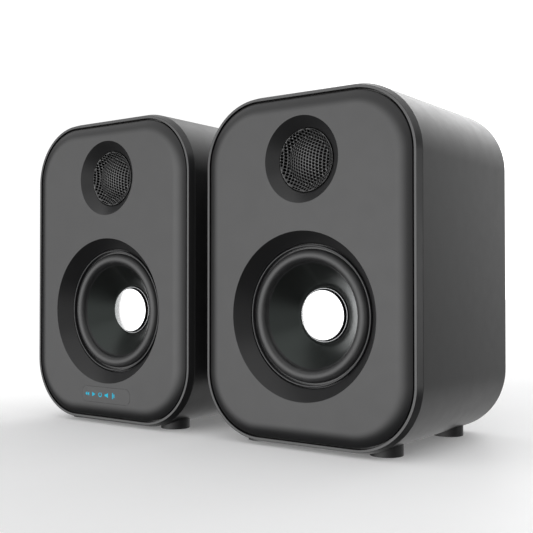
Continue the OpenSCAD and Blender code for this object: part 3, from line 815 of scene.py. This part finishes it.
def grille_depth(speaker, r):
    """Depth of the grille's front at radius r: a brim that falls to a valley round a dome."""
    top = speaker.depth("tweeter_grille")
    fall = (VALLEY_DEPTH - GRILLE_EDGE_DEPTH) / (GRILLE_R - VALLEY_R)
    brim = GRILLE_EDGE_DEPTH + (GRILLE_R - r) * fall
    dome = dome_depth(r, VALLEY_R, VALLEY_DEPTH + GRILLE_T - top, top)
    mix = min(1.0, max(0.0, 0.5 + 0.5 * (brim - dome) / VALLEY_SOFT))
    return brim + (dome - brim) * mix - VALLEY_SOFT * mix * (1 - mix)


def grille(speaker):
    """The perforated sheet: slanted cells, each with a round hole but for those at the edge."""
    shape = Shape()
    limit = GRILLE_R - RIM_W / 2
    across, up = (Vector(step) for step in HOLE_STEPS)
    reach = int(GRILLE_R / HOLE_STEPS[1][1]) + 2
    corners = [(across * sx + up * sz) / 2 for sx, sz in ((1, 1), (-1, 1), (-1, -1), (1, -1))]
    edge = [
        here.lerp(there, i / CELL_STEPS)
        for here, there in zip(corners, corners[1:] + corners[:1])
        for i in range(CELL_STEPS)
    ]

    def point(spot, most=limit):
        if spot.length > most:
            spot = spot.normalized() * most
        depth = grille_depth(speaker, spot.length)
        return (speaker.x + spot.x, speaker.front + depth, speaker.tweeter_z + spot.y)

    for row in range(-reach, reach + 1):
        for column in range(-reach, reach + 1):
            centre = across * column + up * row
            if centre.length > limit + HOLE_R:
                continue
            rim = shape.loop([point(centre + spot) for spot in edge])
            if centre.length < limit - HOLE_INSET:
                spots = [centre + spot.normalized() * HOLE_R for spot in edge]
                hole = shape.loop([point(spot, limit - HOLE_EDGE) for spot in spots])
                shape.bridge(rim, hole)
            else:
                shape.fan(rim, point(centre))
    made = shape.object(f"{speaker.side}_perforated_grille", sharp=50)
    thicken = made.modifiers.new("thickness", "SOLIDIFY")
    thicken.thickness = SHEET_T * MM
    thicken.offset = -1
    return made


def grille_rim(speaker):
    """The grille's solid edge, near-black as painted shade round the grille."""
    inner = GRILLE_R - RIM_W
    outside, inside = grille_depth(speaker, GRILLE_R), grille_depth(speaker, inner)
    profile = rounded(
        [(inner, inside - RIM_PROUD), (GRILLE_R, outside - RIM_PROUD),
         (GRILLE_R, outside + GRILLE_T + 0.3), (inner, inside + GRILLE_T + 0.1)],
        [0.1, 0.1, 0, 0],
    )
    return ring_piece(f"{speaker.side}_grille_rim", speaker, speaker.tweeter_z, profile)


# ---------------------------------------------------------------- pieces: back


def panel_openings(speaker):
    """Outlines of the openings for the fittings in the back panel."""
    outlines = [circle(x, z, SCREW_R + SCREW_CLEARANCE, 24) for x, z in screw_spots(speaker)]
    for part, flange in SQUARE_FITTINGS.items():
        if f"{speaker.side}_{part}" in frame["nodes"]:
            low, high = speaker.box(part)
            middle = (low + high) / 2
            size = high - low
            outlines.append(rectangle(middle.x, middle.z, size.x - 2 * flange, size.z - 2 * flange))
    for part, r in ROUND_FITTINGS.items():
        if f"{speaker.side}_{part}" in frame["nodes"]:
            middle = speaker.middle(part)
            outlines.append(circle(middle.x, middle.z, r, 40))
    return outlines


def board_posts(speaker):
    """Centres and front ends of the posts that a circuit board stands on."""
    for part, gap in BOARDS.items():
        if f"{speaker.side}_{part}" in frame["nodes"]:
            low, high = speaker.box(part)
            for x in (low.x + POST_INSET, high.x - POST_INSET):
                for z in (low.z + POST_INSET, high.z - POST_INSET):
                    yield x, z, speaker.panel_depth - gap


def back_panel(speaker):
    """The back panel, moulded in one with the flared reflex port and the boards' posts."""
    outer_face = speaker.panel_depth
    inner_face = outer_face - PANEL_T
    edge = CORNER_R - WALL - PANEL_GAP
    shape = Shape()
    bend = arc(edge - PANEL_EDGE_R, outer_face - PANEL_EDGE_R, PANEL_EDGE_R, 0, 90, BEND_STEPS)
    outside = shape.swept(speaker, [(edge, inner_face), *bend])
    shape.skin(outside)

    low = speaker.box("back_panel")[0].y - speaker.front
    z = speaker.base_z + PORT_Z
    flare = arc(PORT_R + FLARE, outer_face - FLARE, FLARE, 90, 180, 10)
    bore = flare + [(PORT_R, low), (PORT_R + PORT_WALL, low), (PORT_R + PORT_WALL, inner_face)]
    tube = shape.turned(speaker.x, z, speaker.front, bore, 96)
    shape.skin(tube)

    fronts, backs = [tube[-1]], [tube[0]]
    for outline in panel_openings(speaker):
        fronts.append(shape.flat_loop(outline, speaker.front + inner_face))
        backs.append(shape.flat_loop(outline, speaker.front + outer_face))
        shape.bridge(fronts[-1], backs[-1])
    shape.fill(outside[0], fronts)
    shape.fill(outside[-1], backs)
    for x, z, start in board_posts(speaker):
        post = [(POST_R, start), (POST_R, inner_face + POST_SINK)]
        loops = shape.turned(x, z, speaker.front, post, 24)
        shape.skin(loops)
        for loop in loops:
            shape.fill(loop)
    return soften(shape.object(f"{speaker.side}_rear_panel"))


# ---------------------------------------------------------------- build

FINISHES = {
    "case": plastic("satin_case", (0.013, 0.013, 0.0135), 0.36, wear=0),
    "trim": plastic("satin_trim", (0.014, 0.014, 0.0145), 0.32, **{"Specular IOR Level": 0.6}),
    "front_panel": plastic("satin_front", (0.014, 0.014, 0.0145), 0.33, wear=0),
    "rear_panel": plastic("grained_rear", (0.026, 0.026, 0.027), 0.5, grain=0.6, grain_depth=0.05,
                          wear=0),
    "screw_steel": metal("black_zinc", (0.16, 0.16, 0.17), 0.34),
    "foot_rubber": rubber("foot_rubber", (0.006, 0.006, 0.0063), 0.55),
    "frame_paint": plastic("black_paint", (0.02, 0.02, 0.021), 0.4, grain=1.2, grain_depth=0.03),
    "gasket_rubber": rubber("gasket_rubber", (0.02, 0.02, 0.021), 0.35),
    "surround_rubber": rubber("surround_rubber", (0.02, 0.02, 0.0205), 0.38),
    "cone_plastic": plastic("moulded_cone", (0.007, 0.0073, 0.0071), 0.3, grain=0.8, grain_depth=0.008,
                            **{"Specular Tint": (0.88, 1.0, 0.95), "Specular IOR Level": 0.65}),
    "polished_cap": metal("polished_cap", (0.93, 0.93, 0.94), 0.2),
    # dull black: the tweeter housing's own colour, and painted shade on the cap's foot and on the grille's
    # rim
    "dull_black_and_painted_shade": plastic("dull_black_and_painted_shade", (0.003, 0.003, 0.003), 0.5, **{"Specular IOR Level": 0.12}),
    "bright_ring": metal("bright_ring", (0.42, 0.42, 0.43), 0.18),
    "coil_copper": winding("coil_copper", (0.72, 0.38, 0.2)),
    "spider_cloth": cloth("spider_cloth", (0.5, 0.33, 0.12), 0.45),
    "plate_steel": metal("zinc_plate", (0.55, 0.56, 0.57), 0.35, brushed=0.4),
    "ferrite": plastic("ferrite", (0.045, 0.045, 0.05), 0.6, grain=0.4, grain_depth=0.06, spread=0.15),
    "grille_mesh": plastic("mesh_paint", (0.03, 0.03, 0.0305), 0.3, grain=0.5, grain_depth=0.01,
                           **{"Specular IOR Level": 0.75}),
    "dome_cloth": cloth("dome_cloth", (0.005, 0.0047, 0.0045), 0.3, sheen=0.0),
    "black_plastic": plastic("black_moulding", (0.007, 0.007, 0.0075), 0.3),
    "lever_red": plastic("red_moulding", (0.4, 0.01, 0.014), 0.36, wear=1.2),
    "lever_black": plastic("lever_moulding", (0.012, 0.012, 0.013), 0.3),
    "touch_lens": plastic("touch_lens", (0.014, 0.014, 0.0145), 0.3),
    "icon_light": lit("icon_light", (0.004, 0.43, 0.62), 0.95),
    "board": board("board", (0.01, 0.09, 0.035)),
    "rocker_plastic": plastic("rocker_moulding", (0.012, 0.012, 0.013), 0.22),
    "knob_plastic": plastic("knob_moulding", (0.007, 0.007, 0.0075), 0.3),
}
SLOTS = {row["node"]: row["material_slot"] for row in frame["record"]["subparts"]}

# Pieces and parts whose look isn't the one of their material slot
OWN_FINISH = {
    # The cap's foot and the grille's rim are near-black as painted shade.
    cap_foot: "dull_black_and_painted_shade", grille_rim: "dull_black_and_painted_shade", "tweeter_housing": "dull_black_and_painted_shade",
    "tweeter_motor": "ferrite",
}
# Parts that are rebuilt: the CAD node, what builds its pieces, and the body they ride on
REBUILT = {
    "cabinet": ([cabinet], "speaker"),
    "trim_ring": ([trim_ring], "speaker"),
    "baffle": ([baffle], "speaker"),
    "back_panel": ([back_panel], "speaker"),
    "woofer_gasket": ([gasket], "speaker"),
    "surround": ([surround], None),
    "cone": ([cone], "woofer"),
    "dust_cap": ([dust_cap, cap_foot], "woofer"),
    "cap_ring": ([cap_ring], "woofer"),
    "spider": ([spider], None),
    "tweeter_grille": ([grille, grille_rim], "speaker"),
}
# Edge radius of the parts that are carried over
EDGES = {
    "feet": 0.8, "touch_window": 0.12, "volume_knob": 0.35, "power_rocker": 0.4, "rocker_housing": 0.3,
    "terminal_block": 0.3, "red_lever": 0.35, "black_lever": 0.35, "aux_jack": 0.25, "power_jack": 0.25,
    "panel_screws": 0.15, "woofer_frame": 0.3, "yoke": 0.5, "top_plate": 0.3, "magnet": 0.8,
}

for speaker in (Speaker("left"), Speaker("right")):
    for part, (builders, body) in REBUILT.items():
        node = f"{speaker.side}_{part}"
        for build in builders:
            piece = build(speaker)
            place(piece, speaker, part, FINISHES[OWN_FINISH.get(build, SLOTS[node])], SLOTS[node])
            if body:
                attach(piece, f"{speaker.side}_{body}")
    for node, obj in frame["nodes"].items():
        side, part = node.split("_", 1)
        if side != speaker.side or part in REBUILT:
            continue
        obj.data.materials.clear()
        obj.data.materials.append(FINISHES[OWN_FINISH.get(part, SLOTS[node])])
        if part in EDGES:
            soften(obj, EDGES[part])


# ---------------------------------------------------------------- stage

CAMERA_AZIMUTH = 36.17
CAMERA_PITCH = 0.9
CAMERA_PLACE = (360.27, -483.91, 97.36)
CAMERA_LENS = 59.83
FLOOR_HALF = 3000
PLAIN_WHITE = 1.05             # brightness of plain white areas
FLOOR_FADE = (50.0, 300.0)     # the floor turns from shaded to plain white, behind the middle
FLOOR_TURN = 25.0              # direction of that change, to the left of the camera's
FLOOR_LEAST = 0.15             # share of plain white in front
ROOM_DARK = 0.02
# Lit areas round the object: azimuth of the middle, half width, lowest and highest elevation,
# softness of the sides, of the bottom and of the top, all in degrees, and radiance
LIGHTS = (
    (-18, 36, -24, 28, 34, 20, 24, 3.6),       # large softbox at the front left
    (0, 400, 24, 95, 1, 20, 1, 0.9),           # pale ceiling
    (188, 27, -6, 50, 16, 16, 20, 2.2),        # back wall
    (190, 19, 10, 40, 14, 10, 16, 3.3),
    (180, 45, -42, -8, 15, 10, 10, 0.75),      # lit floor behind
    (110, 14, -8, 8, 8, 8, 8, 2.2),            # narrow strip on the right
    (35, 30, -20, 30, 20, 15, 20, 0.65),       # dim wall on the right
)


def towards(azimuth, elevation):
    """Unit vector from the object to a direction round it; azimuth 0 is the front, 90 the right."""
    a, e = math.radians(azimuth), math.radians(elevation)
    return Vector((math.sin(a) * math.cos(e), -math.cos(a) * math.cos(e), math.sin(e)))


def floor():
    """A white floor that brightens to plain white behind the object. It carries the object's
    shadow but isn't reflected in it."""
    shape = Shape()
    corners = rectangle(0, 0, 2 * FLOOR_HALF, 2 * FLOOR_HALF)
    shape.faces.append(shape.loop([(x, y, 0) for x, y in corners]))
    obj = shape.object("floor")
    obj.rotation_euler.z = math.radians(CAMERA_AZIMUTH + FLOOR_TURN)
    obj.visible_glossy = False
    obj.visible_diffuse = False
    obj.visible_shadow = False
    finish = Finish("floor_white", (0.95, 0.95, 0.955), 0.55, **{"Specular IOR Level": 0.1})
    finish.set(finish.shader, {
        "Base Color": finish.blend(finish.noise(40), (0.94, 0.94, 0.945), (0.97, 0.97, 0.975)),
    })
    glow = finish.node("ShaderNodeEmission", {"Color": (1.0, 1.0, 1.0), "Strength": PLAIN_WHITE})
    along = finish.node("ShaderNodeSeparateXYZ", {"Vector": finish.place}).outputs["Y"]
    fade = finish.span(along, FLOOR_LEAST, 1.0, FLOOR_FADE[0] * MM, FLOOR_FADE[1] * MM, smooth=True)
    mixed = finish.node(
        "ShaderNodeMixShader",
        {0: fade, 1: finish.shader.outputs["BSDF"], 2: glow.outputs["Emission"]},
    )
    finish.set(finish.tree.nodes["Material Output"], {"Surface": mixed.outputs["Shader"]})
    obj.data.materials.append(finish.material)


def studio():
    """Softboxes and walls all round the object, as a sky. The camera itself sees plain white."""
    world = bpy.data.worlds.new("studio")
    bpy.context.scene.world = world
    sky = Tree(world)
    facing = sky.node("ShaderNodeTexCoord").outputs["Generated"]
    parts = sky.node("ShaderNodeSeparateXYZ", {"Vector": facing}).outputs
    to_front = sky.math("MULTIPLY", parts["Y"], -1.0)
    azimuth = sky.math("DEGREES", sky.math("ARCTAN2", parts["X"], to_front))
    elevation = sky.math("DEGREES", sky.math("ARCSINE", parts["Z"]))
    glow = ROOM_DARK
    for middle, half, bottom, top, soft, soft_bottom, soft_top, radiance in LIGHTS:
        off = sky.node(
            "ShaderNodeMath", {0: sky.math("SUBTRACT", azimuth, middle), 1: 180.0, 2: -180.0},
            operation="WRAP",
        ).outputs[0]
        across = sky.span(
            sky.math("ABSOLUTE", off), radiance, 0.0, half - soft, half + soft, smooth=True
        )
        above = sky.span(
            elevation, 0.0, 1.0, bottom - soft_bottom, bottom + soft_bottom, smooth=True
        )
        below = sky.span(elevation, 1.0, 0.0, top - soft_top, top + soft_top, smooth=True)
        panel = sky.math("MULTIPLY", across, sky.math("MULTIPLY", above, below))
        glow = sky.math("MAXIMUM", glow, panel)
    seen = sky.node("ShaderNodeLightPath").outputs["Is Camera Ray"]
    strength = sky.math("MAXIMUM", glow, sky.math("MULTIPLY", seen, PLAIN_WHITE))
    sky.set(sky.tree.nodes["Background"], {"Color": (1.0, 1.0, 1.0), "Strength": strength})


def camera():
    data = bpy.data.cameras.new("camera")
    data.lens = CAMERA_LENS
    data.sensor_width = 36.0
    data.clip_start = 0.01
    obj = bpy.data.objects.new("camera", data)
    bpy.context.scene.collection.objects.link(obj)
    obj.location = Vector(CAMERA_PLACE) * MM
    direction = -towards(CAMERA_AZIMUTH, -CAMERA_PITCH)
    obj.rotation_euler = direction.to_track_quat("-Z", "Y").to_euler()
    bpy.context.scene.camera = obj


floor()
studio()
camera()
bpy.context.scene.view_settings.view_transform = "Standard"
